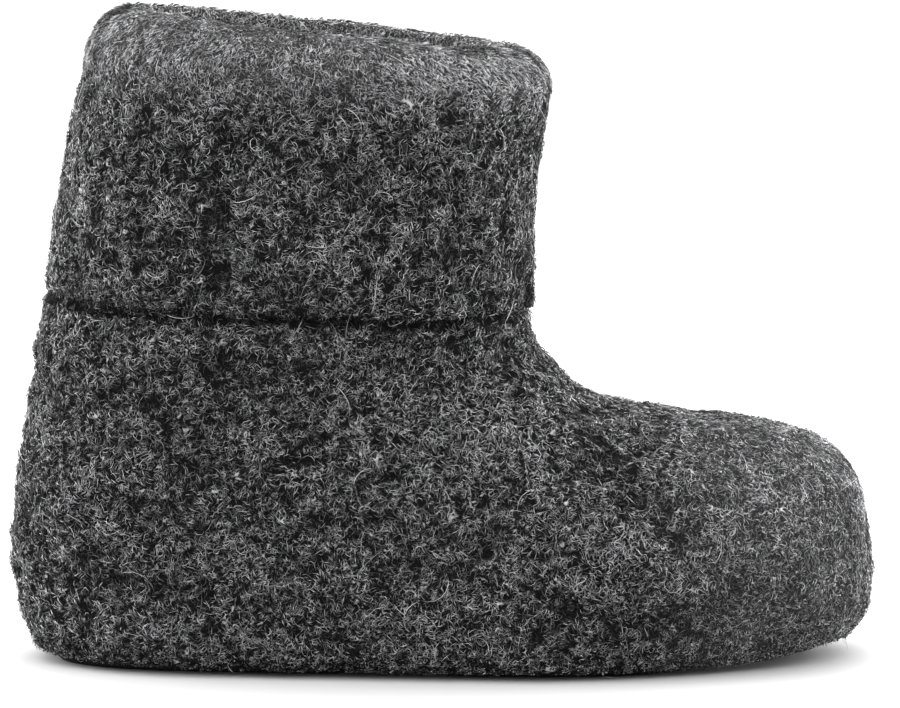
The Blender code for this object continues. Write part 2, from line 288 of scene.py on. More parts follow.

# %% [markdown]
# ## Soft folds and tufts
#
# Thick pile doesn't crease sharply: it buckles into soft troughs with bulges between them. Each
# is a short line on the side of the shoe, given in its own sizes, that pushes the surface in or
# out over a bell-shaped band. On top of that the pile swells in soft lumps and parts into small
# locks with dark gaps between them. At the toe the nap is finer and flatter.

# %% Folds placed one by one
# Besides pushing the surface, each fold darkens the colour in its trough with painted shade and
# pales it on its bulge with painted light, through lit below.
Fold = namedtuple("Fold", "from_x from_z to_x to_z push width")
FOLDS = (
    Fold(0.672, 0.312, 0.750, 0.236, -0.0014, 0.0060),
    Fold(0.750, 0.236, 0.826, 0.152, -0.0015, 0.0060),
    Fold(0.640, 0.232, 0.735, 0.165, 0.0016, 0.0110),
    Fold(0.630, 0.108, 0.780, 0.085, -0.0016, 0.0060),
    Fold(0.900, 0.163, 0.930, 0.074, 0.0012, 0.0060),
    Fold(0.790, 0.262, 0.880, 0.235, 0.0010, 0.0120),
    Fold(0.085, 0.150, 0.175, 0.128, -0.0008, 0.0100),
    Fold(0.220, 0.125, 0.330, 0.100, -0.0009, 0.0080),
    Fold(0.130, 0.060, 0.330, 0.040, 0.0014, 0.0070),
    Fold(0.210, 0.330, 0.320, 0.325, -0.0009, 0.0090),
    Fold(0.250, 0.470, 0.330, 0.450, -0.0010, 0.0100),
    Fold(0.420, 0.420, 0.540, 0.330, 0.0012, 0.0140),
)
CUFF_FOLDS = (
    Fold(0.165, 0.840, 0.158, 0.610, -0.0009, 0.0022),
    Fold(0.212, 0.800, 0.206, 0.625, -0.0008, 0.0020),
    Fold(0.258, 0.850, 0.252, 0.660, -0.0010, 0.0022),
    Fold(0.303, 0.820, 0.300, 0.600, -0.0009, 0.0022),
    Fold(0.348, 0.770, 0.346, 0.590, -0.0008, 0.0020),
    Fold(0.425, 0.840, 0.423, 0.700, -0.0007, 0.0022),
    Fold(0.472, 0.720, 0.470, 0.590, -0.0007, 0.0020),
)
INNER_SIDE_SHARE, FOLD_FACING = 0.7, (0.1, 0.6)


def folded(table, points, normals):
    """How far the folds push each point out: push * exp(-(d / width)^2), d the distance to
    the fold's line in the side view, weighted by how much the surface faces sideways."""
    facing = np.where(normals[..., 1] < 0, -normals[..., 1], INNER_SIDE_SHARE * normals[..., 1])
    side = points[..., [0, 2]]
    pushed = np.zeros(points.shape[:-1])
    for fold in table:
        start = np.array([fold.from_x * LENGTH, fold.from_z * HEIGHT])
        line = np.array([fold.to_x * LENGTH, fold.to_z * HEIGHT]) - start
        t = np.clip((side - start) @ line / (line @ line), 0.0, 1.0)
        distance = np.linalg.norm(side - start - t[..., None] * line, axis=-1)
        pushed += fold.push * np.exp(-((distance / fold.width) ** 2))
    return pushed * ease(facing, *FOLD_FACING)


print("folds on the foot:", len(FOLDS), "and on the cuff:", len(CUFF_FOLDS))

# %% Smooth noise for the tufts
LATTICE, TURN_SEED = 32, 2
TURNED = np.linalg.qr(np.random.default_rng(TURN_SEED).normal(size=(3, 3)))[0]


def wool_noise(points, cell, seed):
    """Smooth random field from 0 to 1: random numbers on a lattice of that cell size, turned
    so that its axes don't show, each point a mix of its eight corners with weights eased by
    3t^2 - 2t^3."""
    numbers = np.random.default_rng(seed).random((LATTICE,) * 3)
    place = points @ TURNED / cell
    low = np.floor(place).astype(int)
    t = ease(place - low, 0.0, 1.0)
    value = np.zeros(points.shape[:-1])
    for corner in np.ndindex(2, 2, 2):
        weight = np.where(corner, t, 1.0 - t).prod(axis=-1)
        i, j, k = np.moveaxis((low + corner) % LATTICE, -1, 0)
        value += weight * numbers[i, j, k]
    return value


SWELL_SEED, LOCK_SEED = 3, 4
SWELL_CELL, LOCK_CELL, LOCK_STEEP = 0.0050, 0.0027, 3.0
SWELL_SHARE, SWELL_SHADE, LOCK_SHARE = 1.9, 0.35, 0.75


def swell(points, stretch):
    """Soft lumps of the pile from about -1 to 1, longer along an axis whose stretch is below
    1."""
    lumps = wool_noise(points * np.array(stretch), SWELL_CELL, SWELL_SEED)
    return SWELL_SHARE * (lumps - 0.5)


def tufts(points, stretch):
    """How far up in a tuft: a share of the swell plus small locks parted by narrow gaps. A
    lock's height is 2 * tanh(k * |2n - 1|) - 1 of a noise n, folded at its middle level."""
    fold = np.abs(2.0 * wool_noise(points * np.array(stretch), LOCK_CELL, LOCK_SEED) - 1.0)
    locks = 2.0 * np.tanh(LOCK_STEEP * fold) - 1.0
    return SWELL_SHADE * swell(points, stretch) + LOCK_SHARE * locks


# %% [markdown]
# ## The pile ground of the upper
#
# The ground lies a little inside the solid's surface, so that the fibres' tips end at it. Under
# the cuff's hem runs a nook whose colour is darkened with painted shade, and towards the toe the
# tufts get flatter and finer. The underside has a recess over the sole, and the inside is let
# down on it. The two grids become one closed skin: outside from the toe to the collar, lining
# from the collar back to the toe.

# %% Where the sole lies
PATTERN_STEPS = 120


def in_sole(points):
    """How far inside the sole's outline each point lies, across the foot, negative outside."""
    pattern = smooth_rows(SOLE, np.linspace(0, len(SOLE) - 1, PATTERN_STEPS))
    at, outer, inner = pattern.T * np.array([[LENGTH], [BALL_WIDTH], [BALL_WIDTH]])
    half = 0.5 * (inner + outer) * (1.0 - toe_tuck(at, sole_lift(at) + 0.5 * SOLE_THICKNESS))
    middle = 0.5 * (inner - outer)
    x, y = points[..., 0], points[..., 1]
    return np.interp(x, at, half) - np.abs(y - np.interp(x, at, middle))


# %% Hem line and the nook under it
HEM_DROP, HEM_LEAST, HEM_SWAY = 0.0045, 0.7, 0.6
HEM_WAVE, HEM_SEED = 0.025, 5
NOOK_DEPTH, NOOK_SHADE, NOOK_FACING = 0.0036, 1.5, (0.1, 0.7)

hem = loops(smooth_rows(CUFF, np.zeros(1)), AROUND)[0]
hem[:, 2] -= HEM_DROP * (HEM_LEAST + HEM_SWAY * wool_noise(hem, HEM_WAVE, HEM_SEED))
below_hem = hem[:, 2] - outside[..., 2]
facing_side = ease(np.abs(outside_normals[..., 1]), *NOOK_FACING)
nook = (1.0 - ease(below_hem, 0.0, NOOK_DEPTH)) * facing_side
print("hem height in mm:", mm(hem[:, 2].min()), "to", mm(hem[:, 2].max()))

# %% Shape the outside
GROUND_INSET, SWELL_HEIGHT, SWELL_CLEAR = 0.0007, 0.0014, (0.002, 0.010)
FOOT_STRETCH = (0.7, 1.0, 1.0)
TOE_TUFTS, FINE_FROM, FINE_TO = 0.66, 0.66, 0.86
FOLD_SHADE = 0.0050
RECESS_EDGE, WEB = (-0.0005, 0.0015), 0.0001

folds = folded(FOLDS, outside, outside_normals)
towards_toe = ease(outside[..., 0], FINE_FROM * LENGTH, FINE_TO * LENGTH)
flatter = 1.0 - (1.0 - TOE_TUFTS) * towards_toe
lump = 1.0 - flatter * (1.0 - tufts(outside, FOOT_STRETCH))
# Painted shade and light: lit darkens fold troughs and the nook under the hem, pales bulges.
lit = folds / FOLD_SHADE - NOOK_SHADE * nook
off_floor = ease(outside[..., 2], *SWELL_CLEAR)
push = folds + off_floor * flatter * SWELL_HEIGHT * swell(outside, FOOT_STRETCH) - GROUND_INSET
ground = outside + push[..., None] * outside_normals
sole_top = sole_lift(ground[..., 0]) + SOLE_THICKNESS
over_sole = ease(in_sole(ground), *RECESS_EDGE) * (ground[..., 2] < sole_top)
ground[..., 2] += over_sole * (sole_top + WEB - ground[..., 2])
print("pushed in and out by mm:", mm(push.min()), mm(push.max()))

# %% Shape the lining
LINING_STEP = 4

lining = outside - WALL * outside_normals
lining[..., 2] -= WALL * np.clip(-outside_normals[..., 2], 0.0, 1.0)
bed = sole_lift(lining[..., 0]) + SOLE_THICKNESS + 2 * WEB
lining[..., 2] = np.maximum(lining[..., 2], bed)
front, back = outside[-1, 0], outside[-1, AROUND // 2]
slope = (front[2] - back[2]) / (front[0] - back[0])
lining[-1, :, 2] = back[2] + slope * (lining[-1, :, 0] - back[0])
lining = lining[::-LINING_STEP]
print("loops of the lining:", len(lining))

# %% Put a grid into a mesh
BAKE_MAP = "OFBake"
triangle_counts = []


def grid_quads(rows, around, closed_rows=False):
    """Quads (i, j), (i, j+1), (i+1, j+1), (i+1, j), wrapping round the loop, and each corner's
    place on a flat map: its share of the way round and along."""
    spans = rows if closed_rows else rows - 1
    i, j = np.meshgrid(np.arange(spans), np.arange(around), indexing="ij")
    row = np.stack([i, i, i + 1, i + 1], -1).reshape(-1, 4)
    column = np.stack([j, j + 1, j + 1, j], -1).reshape(-1, 4)
    places = np.stack([column / around, row / spans], -1)
    return (row % rows) * around + column % around, places


def put_piece(name, points, face_sets, map_sets, material, values):
    """A mesh object from arrays: points, sets of equal-sided faces with their flat maps, and
    named values per point for the material to read."""
    mesh = bpy.data.meshes.new(name)
    sizes = np.concatenate([np.full(len(faces), faces.shape[1]) for faces in face_sets])
    corners = np.concatenate([faces.ravel() for faces in face_sets]).astype(np.int32)
    mesh.vertices.add(len(points))
    mesh.vertices.foreach_set("co", points.astype(np.float32).ravel())
    mesh.loops.add(len(corners))
    mesh.loops.foreach_set("vertex_index", corners)
    mesh.polygons.add(len(sizes))
    mesh.polygons.foreach_set("loop_start", (np.cumsum(sizes) - sizes).astype(np.int32))
    mesh.update(calc_edges=True)
    flat = np.concatenate([places.reshape(-1, 2) for places in map_sets])
    mesh.uv_layers.new(name=BAKE_MAP).uv.foreach_set("vector", flat.astype(np.float32).ravel())
    for key, value in values.items():
        data = mesh.attributes.new(key, "FLOAT", "POINT").data
        data.foreach_set("value", value.astype(np.float32).ravel())
    mesh.shade_smooth()
    mesh.materials.append(material)
    piece = bpy.data.objects.new(name, mesh)
    bpy.context.scene.collection.objects.link(piece)
    triangles = int((sizes - 2).sum())
    triangle_counts.append(triangles)
    print(f"{name}: {len(points)} points, {triangles} triangles")
    return piece


# %% [markdown]
# ## The ground's finish
#
# Between the fibres one sees the depth of the pile: nearly black, with thin paler threads
# curling through it. A thread is the line along which a smooth noise passes a whole level, so
# the noise's distance from the nearest level draws curly lines at no cost in triangles. Four
# sizes of them lie over each other, broken up by a second noise, and the same lines give the
# bump. Hollows are darker; gaps between tufts, fold troughs, the nook under the hem and the
# cuff's face are darkened with painted shade, fold bulges paled with painted light, and the fine
# nap's gaps are less dark.

# %% Node helpers
def add_node(tree, kind, sockets=None, **settings):
    """A new node with its sockets' values and its own settings."""
    made = tree.nodes.new(kind)
    for key, value in settings.items():
        setattr(made, key, value)
    for key, value in (sockets or {}).items():
        made.inputs[key].default_value = value
    return made


def link(tree, source, target, output=0):
    """Join a node's output to a socket."""
    tree.links.new(source.outputs[output], target)


def math_node(tree, operation, first, second):
    """A Math node; each operand is a number or a node."""
    made = add_node(tree, "ShaderNodeMath", operation=operation)
    for socket, value in zip(made.inputs, (first, second)):
        if isinstance(value, bpy.types.Node):
            link(tree, value, socket)
        else:
            socket.default_value = value
    return made


def between(tree, source, low, high, to_low, to_high, output=0):
    """A Map Range node, clamped and smooth, from one of a node's outputs."""
    sockets = {"From Min": low, "From Max": high, "To Min": to_low, "To Max": to_high}
    made = add_node(tree, "ShaderNodeMapRange", sockets, interpolation_type="SMOOTHSTEP")
    link(tree, source, made.inputs["Value"], output)
    return made


def wool_shader(name, roughness, gloss):
    """An empty rough wool material; returns it with its tree and shader."""
    material = bpy.data.materials.new(name)
    material.use_nodes = True
    tree = material.node_tree
    shader = tree.nodes["Principled BSDF"]
    shader.inputs["Roughness"].default_value = roughness
    shader.inputs["Specular IOR Level"].default_value = gloss
    return material, tree, shader


# %% Curly threads in a material
Thread = namedtuple("Thread", "scale lines width strength shift")
THREADS = (
    Thread(210.0, 7.0, 0.11, 1.0, (0.0, 0.0, 0.0)),
    Thread(330.0, 5.0, 0.11, 0.85, (0.31, 0.17, 0.53)),
    Thread(450.0, 4.5, 0.12, 0.7, (0.71, 0.43, 0.11)),
    Thread(620.0, 3.5, 0.12, 0.55, (0.23, 0.91, 0.37)),
)
LINE_WANDER, LINE_CORE = 0.5, 0.3
BREAK_SCALE, BREAK_FROM, BREAK_TO = 1.6, 0.42, 0.60


def shifted_place(tree, place, shift):
    """Object coordinates moved by a constant, so that two noises of one size differ."""
    made = add_node(tree, "ShaderNodeVectorMath", {1: shift}, operation="ADD")
    link(tree, place, made.inputs[0], "Object")
    return made


def noise_at(tree, place, scale, detail, distortion=0.0):
    """A Noise Texture on Object coordinates."""
    sockets = {"Scale": scale, "Detail": detail, "Distortion": distortion}
    made = add_node(tree, "ShaderNodeTexNoise", sockets)
    link(tree, place, made.inputs["Vector"])
    return made


def curly_threads(tree, place, threads):
    """The brightest over all sizes of thread. Each draws the lines along which its noise
    passes a whole number of levels, so that they run beside each other as in a lock, and a
    second noise breaks them up into short lengths."""
    total = None
    for thread in threads:
        shifted = shifted_place(tree, place, thread.shift)
        waves = noise_at(tree, shifted, thread.scale, 0.0, LINE_WANDER)
        levels = math_node(tree, "MULTIPLY", waves, thread.lines)
        away = math_node(tree, "PINGPONG", levels, 0.5)
        core = LINE_CORE * thread.width
        line = between(tree, away, core, thread.width, thread.strength, 0.0)
        lengths = noise_at(tree, shifted, BREAK_SCALE * thread.scale, 1.0)
        breaks = between(tree, lengths, BREAK_FROM, BREAK_TO, 0.0, 1.0)
        short = math_node(tree, "MULTIPLY", line, breaks)
        total = short if total is None else math_node(tree, "MAXIMUM", total, short)
    return total


# %% Pile ground as a finish
HOLLOW_SCALE, HOLLOW_SHIFT = 300.0, (0.13, 0.59, 0.83)
HOLLOW_FROM, HOLLOW_TO, HOLLOW_DARK = 0.37, 0.55, 0.06
GAP_FROM, GAP_TO, GAP_DARK = -0.6, 0.5, 0.12
FINE_FULL, FINE_OPEN, FINE_FILL = 0.5, 0.6, 0.035
THREAD_BUMP, THREAD_HEIGHT = 0.7, 0.0006
PILE_ROUGHNESS, PILE_GLOSS = 1.0, 0.03
PILE_DARK, PILE_PALE = (0.005, 0.005, 0.0052), (0.50, 0.50, 0.508)
MIX_SHARE, MIX_FIRST, MIX_SECOND, MIX_RESULT = 0, 6, 7, 2


def pile_ground(name, dark, pale):
    """Near-black wool with paler curly threads. The share of the pale colour is the threads
    times the hollows times the height in the tuft, never below a little in fine nap. The tuft
    value also carries painted shade and light of folds, nook, hem and cuff face, and its low
    values, in gaps between tufts, darken the ground as painted shade."""
    material, tree, shader = wool_shader(name, PILE_ROUGHNESS, PILE_GLOSS)
    place = add_node(tree, "ShaderNodeTexCoord")
    lines = curly_threads(tree, place, THREADS)
    # Painted shade: low tuft values (gaps, fold troughs, nook, hem, cuff face) darken the ground.
    tuft = add_node(tree, "ShaderNodeAttribute", attribute_name="tuft")
    raised = between(tree, tuft, GAP_FROM, GAP_TO, GAP_DARK, 1.0, "Fac")
    spots = noise_at(tree, shifted_place(tree, place, HOLLOW_SHIFT), HOLLOW_SCALE, 1.0)
    hollows = between(tree, spots, HOLLOW_FROM, HOLLOW_TO, HOLLOW_DARK, 1.0)
    fine = add_node(tree, "ShaderNodeAttribute", attribute_name="fine")
    opened = between(tree, fine, 0.0, FINE_FULL, 0.0, FINE_OPEN, "Fac")
    filled = between(tree, fine, 0.0, FINE_FULL, 0.0, FINE_FILL, "Fac")
    hollows = math_node(tree, "MAXIMUM", hollows, opened)
    share = math_node(tree, "MULTIPLY", math_node(tree, "MULTIPLY", lines, hollows), raised)
    colour = add_node(tree, "ShaderNodeMix", data_type="RGBA")
    link(tree, math_node(tree, "MAXIMUM", share, filled), colour.inputs[MIX_SHARE])
    colour.inputs[MIX_FIRST].default_value = (*dark, 1.0)
    colour.inputs[MIX_SECOND].default_value = (*pale, 1.0)
    link(tree, colour, shader.inputs["Base Color"], MIX_RESULT)
    bump = add_node(tree, "ShaderNodeBump", {"Strength": THREAD_BUMP, "Distance": THREAD_HEIGHT})
    link(tree, lines, bump.inputs["Height"])
    link(tree, bump, shader.inputs["Normal"])
    return material


pile_finish = pile_ground("charcoal pile ground", PILE_DARK, PILE_PALE)
print("sizes of thread in the finish:", len(THREADS))

# %% Join outside and lining into the upper
def close_fan(rows, around, at_start, tip):
    """Triangles from a grid's first or last loop to one tip point, and their flat map."""
    j = np.arange(around)
    first = 0 if at_start else (rows - 1) * around
    here, there, tips = first + j, first + (j + 1) % around, np.full(around, tip)
    order = [tips, there, here] if at_start else [here, there, tips]
    edge = np.full(around, 0.0 if at_start else 1.0)
    middle = np.stack([(j + 0.5) / around, edge], -1)
    left, right = np.stack([j / around, edge], -1), np.stack([(j + 1) / around, edge], -1)
    corners = [middle, right, left] if at_start else [left, right, middle]
    return np.stack(order, -1), np.stack(corners, 1)


def put_closed(name, grid, tips, material, values):
    """A grid of loops as a piece, its first and its last loop each closed by a fan to a tip."""
    rows, around = grid.shape[:2]
    quads, quad_map = grid_quads(rows, around)
    first_fan, first_map = close_fan(rows, around, True, rows * around)
    last_fan, last_map = close_fan(rows, around, False, rows * around + 1)
    points = np.concatenate([grid.reshape(-1, 3), tips]) + to_frame
    faces, maps = [quads, first_fan, last_fan], [quad_map, first_map, last_map]
    return put_piece(name, points, faces, maps, material, values)


LINING_TUFTS = 0.5

skin = np.concatenate([ground, lining])
# Painted shade: the tuft value adds lit, the painted shade and light of folds and the nook.
skin_tuft_and_painted_shade = np.concatenate([lump + lit, LINING_TUFTS * tufts(lining, FOOT_STRETCH)])
toe_out = skin[0].mean(axis=0) * [0, 1, 1] + [LENGTH - GROUND_INSET, 0, 0]
toe_in = skin[-1].mean(axis=0) * [0, 1, 1] + [LENGTH - WALL, 0, 0]
skin_values = {
    "tuft": np.concatenate([skin_tuft_and_painted_shade.ravel(), [0.0, 0.0]]),
    "fine": np.concatenate([1.0 - flatter.ravel(), np.zeros(lining[..., 0].size + 2)]),
}
upper = put_closed("upper_ground", skin, [toe_out, toe_in], pile_finish, skin_values)
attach(upper, "root")
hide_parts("upper")

# %% [markdown]
# ## The cuff
#
# The cuff is the same cloth rolled over the collar and turned down outside. Carried along the
# collar its cross-section is a closed hook: up the face from the hem, over a round crest, down
# the inside of the roll and back along the shaft. The hem is a soft round edge, darkened with
# painted shade where it tucks under, and over the roll the nap is combed, finer and paler, the
# paleness partly a painted highlight. The face below the roll is darkened with painted shade, and
# its folds darken the colour in their troughs with painted shade. Rows of tufts run down the face.

# %% Shape the cuff
ROWS_FACE, ROWS_ROLL = 58, 16
ROLL_OUTER_SHARE, ROLL_FULLNESS = 0.82, 0.95
HEM_BLEND = 0.014
LAST_TURN = 0.5 * np.pi - 1e-6

face = loops(smooth_rows(CUFF, even_rows(CUFF, ROWS_FACE)), AROUND)
drop = face[0, :, 2] - hem[:, 2]
face[..., 2] -= drop * (1.0 - ease(face[..., 2] - face[:1, :, 2], 0.0, HEM_BLEND))
shaft = outside[ROWS_FOOT - 1 :] + GAP * outside_normals[ROWS_FOOT - 1 :]
edge_out = face[-1]
edge_in = lining[0] + [0.0, 0.0, GAP]
crest = edge_out + ROLL_OUTER_SHARE * (edge_in - edge_out)
forward = (edge_out[:, 0] - edge_out[:, 0].min()) / np.ptp(edge_out[:, 0])
crest[:, 2] = edge_out[:, 2] + ROLL_RISE_BACK + (ROLL_RISE_FRONT - ROLL_RISE_BACK) * forward


def quarter(start, end, turn, rising):
    """A full quarter curve between two loops, upright at one end and level at the other: sine
    and cosine to a power below 1 make it squarer than an ellipse."""
    fast, slow = np.sin(turn) ** ROLL_FULLNESS, 1.0 - np.cos(turn) ** ROLL_FULLNESS
    level, upright = np.array([1.0, 1.0, 0.0]), np.array([0.0, 0.0, 1.0])
    share = level * slow + upright * fast if rising else level * fast + upright * slow
    return start + (end - start) * share


turn = np.linspace(0.0, LAST_TURN, ROWS_ROLL + 1)[1:, None, None]
rising = quarter(edge_out, crest, turn, True)
falling = quarter(crest, edge_in, turn, False)
smooth_cuff = np.concatenate([face, rising, falling, shaft[::-1]])
cuff_rows = len(smooth_cuff)
print("cuff loops:", cuff_rows, "crest at mm:", mm(crest[:, 2].max()))

# %% Hem, tufts and rows of the cuff
HEM_TURN, HEM_DEPTH, HEM_STEEP = 0.004, 0.0028, 0.999
HEM_SHADE, HEM_DARK = 0.0015, 0.5
CUFF_STRETCH, ROLL_TUFTS = (1.0, 1.0, 0.42), 0.52
COMBED_LEVELS = (-0.018, 0.012)
CUFF_SHADE, CUFF_FOLD_SHARE = 0.13, 1.5

height = face[..., 2] - face[:1, :, 2]
tucked = np.clip(1.0 - height / HEM_TURN, 0.0, 1.0)
tuck = HEM_DEPTH * (1.0 - np.sqrt(1.0 - HEM_STEEP * tucked**2))
cuff_normals = normals_of(smooth_cuff, closed_rows=True)
visible = np.zeros(cuff_rows)
visible[: ROWS_FACE + 2 * ROWS_ROLL] = 1.0
combed = visible[:, None] * ease(smooth_cuff[..., 2] - edge_out[:, 2], *COMBED_LEVELS)
cuff_folds = folded(CUFF_FOLDS, smooth_cuff, cuff_normals)
cuff_depth = 1.0 - (1.0 - ROLL_TUFTS) * combed
cuff_lump = 1.0 - cuff_depth * (1.0 - tufts(smooth_cuff, CUFF_STRETCH))
lift = SWELL_HEIGHT * cuff_depth * swell(smooth_cuff, CUFF_STRETCH)
push = visible[:, None] * (cuff_folds + lift - GROUND_INSET)
push[:ROWS_FACE] -= tuck
cuff_ground = smooth_cuff + push[..., None] * cuff_normals
# Painted shade in cuff_lit: fold troughs, the face below the combed roll and the tucked hem.
cuff_lit = CUFF_FOLD_SHARE * cuff_folds / FOLD_SHADE - CUFF_SHADE * (1.0 - combed)
cuff_lit[:ROWS_FACE] -= HEM_DARK * (1.0 - ease(height, 0.0, HEM_SHADE))
quads, quad_map = grid_quads(cuff_rows, AROUND, closed_rows=True)
cuff_finish = pile_ground("turned pile ground", PILE_DARK, PILE_PALE)
cuff = put_piece(
    "cuff_ground",
    cuff_ground.reshape(-1, 3) + to_frame,
    [quads],
    [quad_map],
    cuff_finish,
    {"tuft": (cuff_lump + cuff_lit).ravel(), "fine": 1.0 - cuff_depth.ravel()},
)
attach(cuff, "root")
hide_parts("cuff")

# %% [markdown]
# ## Sole and footbed
#
# Both are plates cut to one pattern: half widths of the outer and the inner side from heel to
# toe. The profile across, a rectangle with round edges, is carried from heel to toe over the
# arch and the toe spring. A cut-out with Solidify would do for a flat sole, but not for one
# that bends and narrows under the toe.

# %% Cut the plates
SOLE_EDGE, INSOLE_THICKNESS, INSOLE_INSET = 0.0015, 0.0045, 0.002
SOLE_STATIONS, EDGE_STEPS, ACROSS, PLATE_END = 72, 4, 20, 0.15


def plate(inset, bottom, top, edge, crown=0.0):
    """Grid of a sole-shaped plate: for each station a rounded rectangle from the inner edge's
    top over to the outer edge and back underneath, its top raised by crown * (1 - v^2)."""
    stations = np.linspace(PLATE_END, len(SOLE) - 1 - PLATE_END, SOLE_STATIONS)
    pattern = smooth_rows(SOLE, stations)
    at, outer, inner = pattern.T * np.array([[LENGTH], [BALL_WIDTH], [BALL_WIDTH]])
    middle, reach = 0.5 * (at[0] + at[-1]), 0.5 * (at[-1] - at[0])
    x = middle + (at - middle) * (1.0 - inset / reach)
    half = 0.5 * (inner + outer)
    half = half * (1.0 - inset / half.max())
    bend = np.linspace(0.0, np.pi / 2, EDGE_STEPS)
    run = np.linspace(1.0, -1.0, ACROSS)[1:-1]
    flat, inner_edge = np.zeros(len(run)), np.ones(EDGE_STEPS)
    outer_edges = -np.ones(2 * EDGE_STEPS)
    side = np.concatenate([inner_edge, run, outer_edges, run[::-1], inner_edge])
    leaving, arriving = 1 - np.cos(bend), 1 - np.sin(bend)
    lean = np.concatenate([leaving, flat + 1, arriving, leaving, flat + 1, arriving])
    low, high = bottom + edge, top - edge
    top_half = [high + edge * np.sin(bend), flat + top, high + edge * np.cos(bend)]
    low_half = [low - edge * np.sin(bend), flat + bottom, low - edge * np.cos(bend)]
    z = np.concatenate(top_half + low_half)
    across = side * (half[:, None] - edge * lean)
    y = 0.5 * (inner - outer)[:, None] + across
    rise = crown * (1.0 - (across / half[:, None]) ** 2) * (z > 0.5 * (low + high))
    z = sole_lift(x)[:, None] + z + rise
    grid = np.stack([np.broadcast_to(x[:, None], y.shape), y, z], -1)
    return tucked_under(grid)[::-1]


def put_plate(name, grid, material, node):
    """A plate's grid closed at both ends to the middle of the end loop, riding on the shoe."""
    ends = [grid[0].mean(axis=0), grid[-1].mean(axis=0)]
    even = np.zeros(grid[..., 0].size + 2)
    piece = put_closed(name, grid, ends, material, {"tuft": even})
    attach(piece, "root")
    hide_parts(node)
    return piece


FELT_DARK, FELT_PALE = (0.016, 0.016, 0.017), (0.055, 0.055, 0.057)
BED_DARK, BED_PALE = (0.03, 0.03, 0.031), (0.17, 0.17, 0.172)
FOOTBED_CROWN = 0.001

felt_finish = pile_ground("dark wool felt", FELT_DARK, FELT_PALE)
footbed_finish = pile_ground("wool footbed", BED_DARK, BED_PALE)
sole_grid = plate(0.0, 0.0, SOLE_THICKNESS, SOLE_EDGE)
put_plate("outsole_felt", sole_grid, felt_finish, "outsole")
footbed_base = SOLE_THICKNESS + GAP
footbed_top = footbed_base + INSOLE_THICKNESS - FOOTBED_CROWN
footbed_grid = plate(INSOLE_INSET, footbed_base, footbed_top, SOLE_EDGE, FOOTBED_CROWN)
put_plate("insole_pile", footbed_grid, footbed_finish, "insole")

# %% [markdown]
# ## Wool fibres
#
# A hair particle system would be lost in the exported model, so each fibre is a thin closed
# body of a few triangles: the short nap is slivers of four corners, and curls and strays are
# spindles of a point, a few rings of three corners and a point. A fibre's path starts on the
# ground, heads off in a direction that it shares with its neighbours, and curls as it goes. The
# roots are spread over a grid's cells by their area, so no part is bare.

# %% Plant roots on a grid
def planted(grid, weight, fields, count, rng):
    """Fields mixed at roots: marks spread evenly along the summed area of the cells fall each
    in one cell, where the root is a random mix of the four corners."""
    side = np.roll(grid, -1, axis=1)[:-1] - grid[:-1]
    area = np.linalg.norm(np.cross(side, grid[1:] - grid[:-1]), axis=-1) * weight[:-1]
    run = np.cumsum(area.ravel())
    marks = (np.arange(count) + rng.random(count)) / count * run[-1]
    i, j = np.divmod(np.searchsorted(run, marks), grid.shape[1])
    k = (j + 1) % grid.shape[1]
    u, v = rng.random((2, count, 1))

    def mixed(field):
        """The field at the roots: shares 1 - u and u across a cell, 1 - v and v along."""
        near = (1 - u) * field[i, j] + u * field[i, k]
        return (1 - v) * near + v * ((1 - u) * field[i + 1, j] + u * field[i + 1, k])

    return [mixed(field) for field in fields]


# %% Grow fibres from the roots
Fleece = namedtuple("Fleece", "rings short long thickness lift curl stray pale")
NAP = Fleece(0, 0.0015, 0.0034, 0.00016, 0.0010, 0.0, 0.9, 0.05)
CURLS = Fleece(2, 0.0026, 0.0060, 0.00015, 0.0012, 5.2, 1.0, 0.15)
FRINGE = Fleece(2, 0.0024, 0.0050, 0.00020, 0.0010, 3.5, 0.9, -0.15)
STRAYS = Fleece(5, 0.0090, 0.0160, 0.00020, 0.0016, 3.4, 2.5, 0.40)
CURL_SPREAD, LIFT_LEAST, LIFT_MOST = 0.6, 0.4, 1.25
BEND_START, BEND_SPAN = 0.08, 0.62
FLOOR_CLEAR = 0.0004
DOWN, NUDGE = np.array([0.0, 0.0, -1.0]), 0.02


def fibre_paths(roots, normals, fleece, heading, short, rng):
    """Points along each fibre. In the plane of the surface the direction turns steadily by
    the curl; above it the height follows lift * sin, so the fibre arches over its neighbours.
    A heading of 0 is straight down the surface, with a nudge where that is level."""
    count, steps = len(roots), max(fleece.rings, 1) + 1
    along = unit(DOWN + NUDGE - (normals @ DOWN)[:, None] * normals)
    across = np.cross(normals, along)
    length = short * rng.uniform(fleece.short, fleece.long, count)
    curl = fleece.curl * rng.normal(0.0, CURL_SPREAD, count)
    lift = fleece.lift * rng.uniform(LIFT_LEAST, LIFT_MOST, count)
    share = np.arange(steps + 1) / steps
    angle = heading[:, None] + curl[:, None] * (share[:-1] + 0.5 / steps - 0.5)
    step = (length / steps)[:, None, None]
    sideways = np.sin(angle)[..., None] * across[:, None]
    moves = step * (np.cos(angle)[..., None] * along[:, None] + sideways)
    flat = np.concatenate([np.zeros((count, 1, 3)), np.cumsum(moves, axis=1)], axis=1)
    arch = np.sin(np.pi * (BEND_START + BEND_SPAN * share)) - np.sin(BEND_START * np.pi)
    paths = roots[:, None] + flat + (lift[:, None] * arch)[..., None] * normals[:, None]
    paths[..., 2] = np.maximum(paths[..., 2], FLOOR_CLEAR)
    return paths


